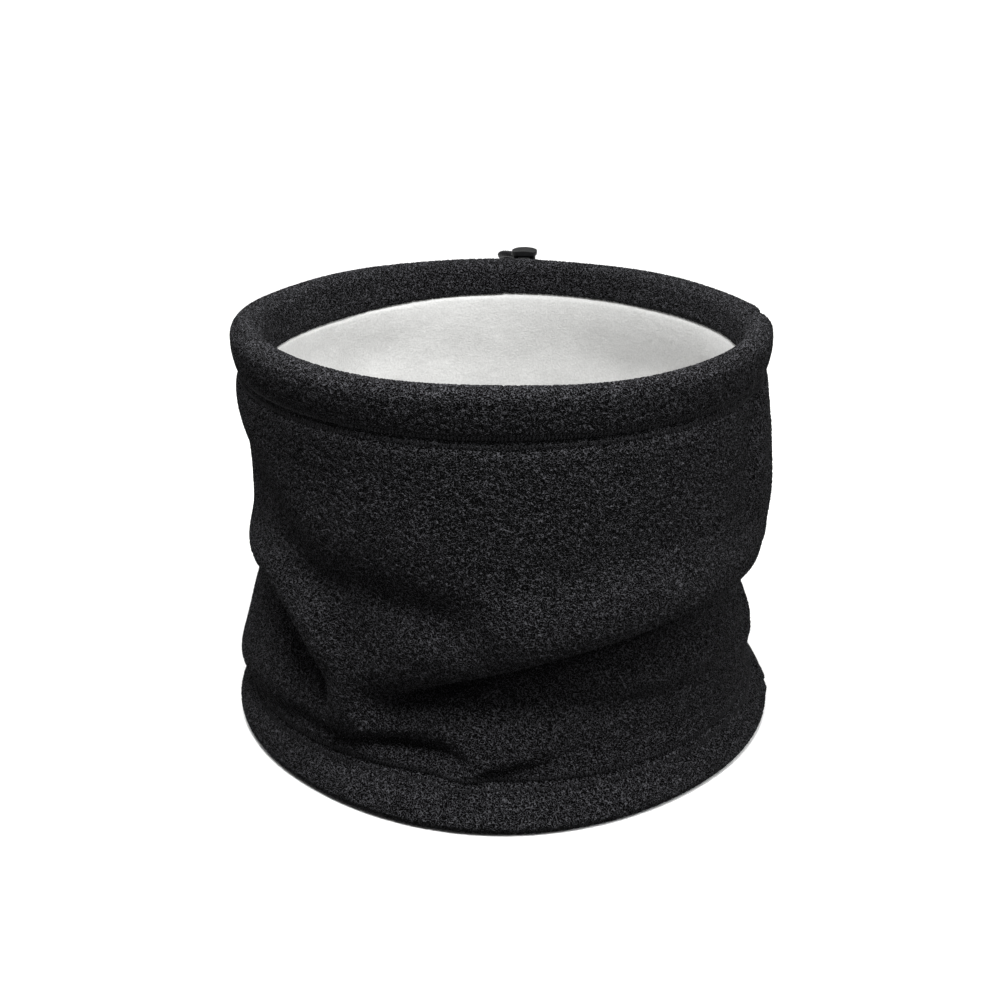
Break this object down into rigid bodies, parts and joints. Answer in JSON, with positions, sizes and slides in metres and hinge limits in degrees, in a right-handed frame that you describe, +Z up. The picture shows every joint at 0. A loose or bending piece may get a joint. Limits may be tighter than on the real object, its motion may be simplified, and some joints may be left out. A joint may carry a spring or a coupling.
{
  "type": "neck gaiter",
  "caption": "Lined fleece neck tube with a rolled upper hem, a flared lower hem and an elastic drawcord held by a spring cord lock at the rear.",
  "frame": {"origin": "centre of the lower hem's rim, on the surface the tube stands on", "axes": "+Z up along the tube, +Y to the rear where the drawcord comes out, +X to the side seam"},
  "size_m": [0.181, 0.2181, 0.13],
  "materials": {
    "black_fleece": "matt nubbly pile",
    "grey_lining": "matt short nap",
    "black_thread": "matt",
    "black_elastic": "braided, matt",
    "black_eyelet": "semi-gloss",
    "plain_washer": "satin",
    "black_plastic": "fine satin texture",
    "spring_steel": "satin"
  },
  "bodies": {
    "gaiter": {"outer_shell": "black_fleece", "lining": "grey_lining", "upper_hem_thread": "black_thread", "lower_hem_thread": "black_thread", "inner_hem_thread": "black_thread", "side_seam_thread": "black_thread", "eyelet_left": "black_eyelet", "eyelet_right": "black_eyelet", "washer_left": "plain_washer", "washer_right": "plain_washer", "drawcord": "black_elastic", "drawcord_loop": "black_elastic"},
    "cord_lock": {"cord_lock_body": "black_plastic", "cord_lock_spring": "spring_steel"},
    "plunger": {"cord_lock_plunger": "black_plastic"}
  },
  "joints": [
    {"name": "cord_lock_slide", "type": "slide", "parent": "gaiter", "child": "cord_lock", "axis": [0, 1, 0], "range_m": [0, 0.008]},
    {"name": "plunger_press", "type": "slide", "parent": "cord_lock", "child": "plunger", "axis": [0, 0, -1], "range_m": [0, 0.0026], "stiffness_N_per_m": 450, "springref_m": -0.004, "deforming": ["cord_lock_spring"]}
  ]
}
